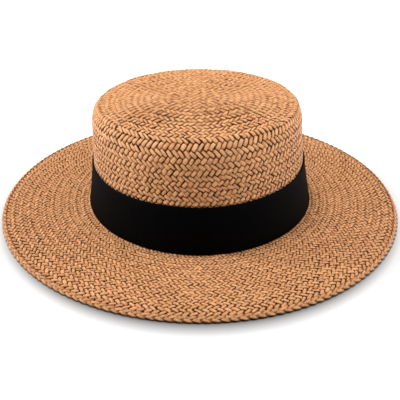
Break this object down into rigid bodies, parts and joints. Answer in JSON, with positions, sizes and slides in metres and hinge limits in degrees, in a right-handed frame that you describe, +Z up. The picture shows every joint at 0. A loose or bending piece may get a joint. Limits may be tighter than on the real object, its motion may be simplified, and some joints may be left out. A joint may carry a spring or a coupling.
{
  "type": "straw boater hat",
  "caption": "Plaited straw boater with a flat-topped oval crown, a wide and nearly flat oval brim, and a plain dark ribbon band.",
  "frame": {"origin": "middle of the rim's underside, on the surface that the hat stands on", "axes": "+Z up through the crown, +Y from the front of the hat to its back, +X to the right of someone looking at the front"},
  "size_m": [0.312, 0.335, 0.0869],
  "materials": {
    "crown_straw": "matte twisted straw, caramel",
    "brim_straw": "matte twisted straw, caramel",
    "ribbon": "matte black ribbed ribbon"
  },
  "bodies": {
    "root": {"crown": "crown_straw", "brim": "brim_straw", "brim_edge": "brim_straw", "hat_band": "ribbon"}
  },
  "joints": []
}
